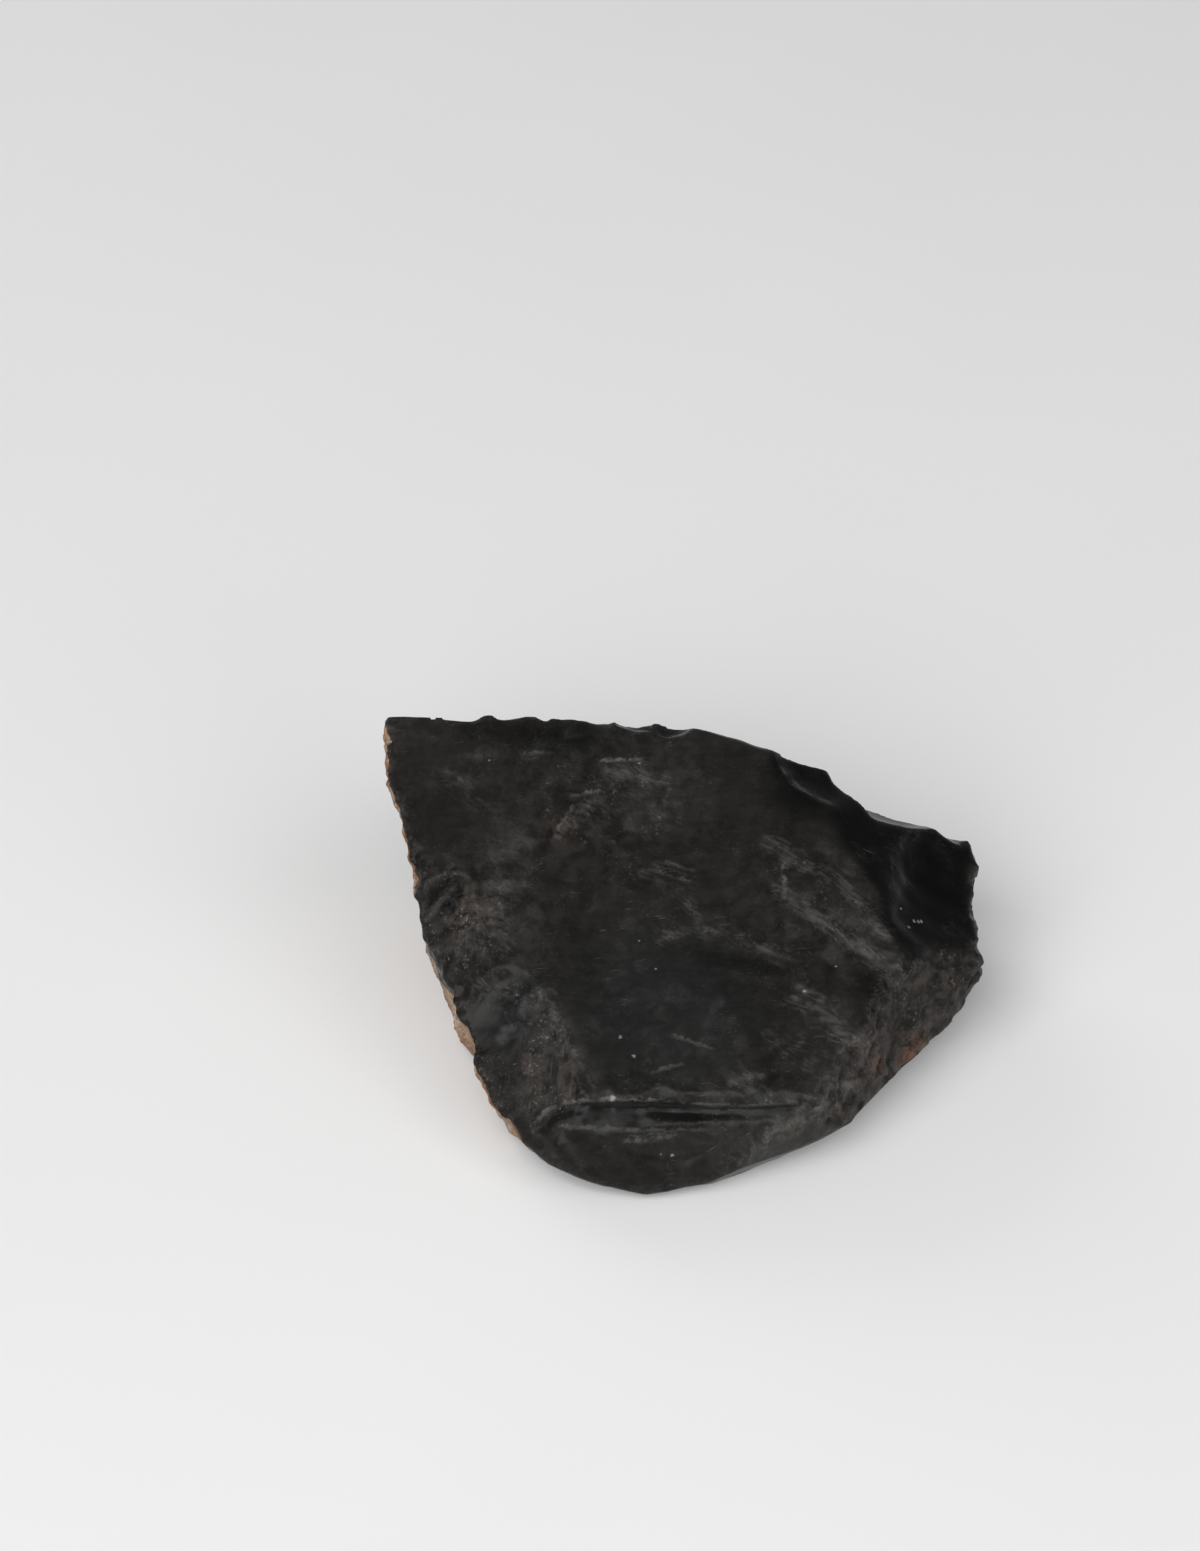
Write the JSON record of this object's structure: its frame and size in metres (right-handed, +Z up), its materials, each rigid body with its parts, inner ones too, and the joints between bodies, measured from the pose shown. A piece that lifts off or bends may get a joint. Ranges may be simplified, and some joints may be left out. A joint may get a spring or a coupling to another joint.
{
  "type": "raw black onyx",
  "caption": "Rough lump of raw black onyx with glassy flake scars, a broad sloping split face and a flat break underneath to rest on.",
  "frame": {"origin": "under the middle of the stone's box, on the flat break it rests on", "axes": "+X along the stone's longest side, +Y from the low front edge of the split face to its high back edge, +Z up"},
  "size_m": [0.0772, 0.0628, 0.0342],
  "materials": {
    "black_onyx": "dull to waxy broken surface with hazy grey scuffs, brown tints and a thin tan to rust rind on one side"
  },
  "bodies": {
    "root": {"onyx_lump": "black_onyx"}
  },
  "joints": []
}
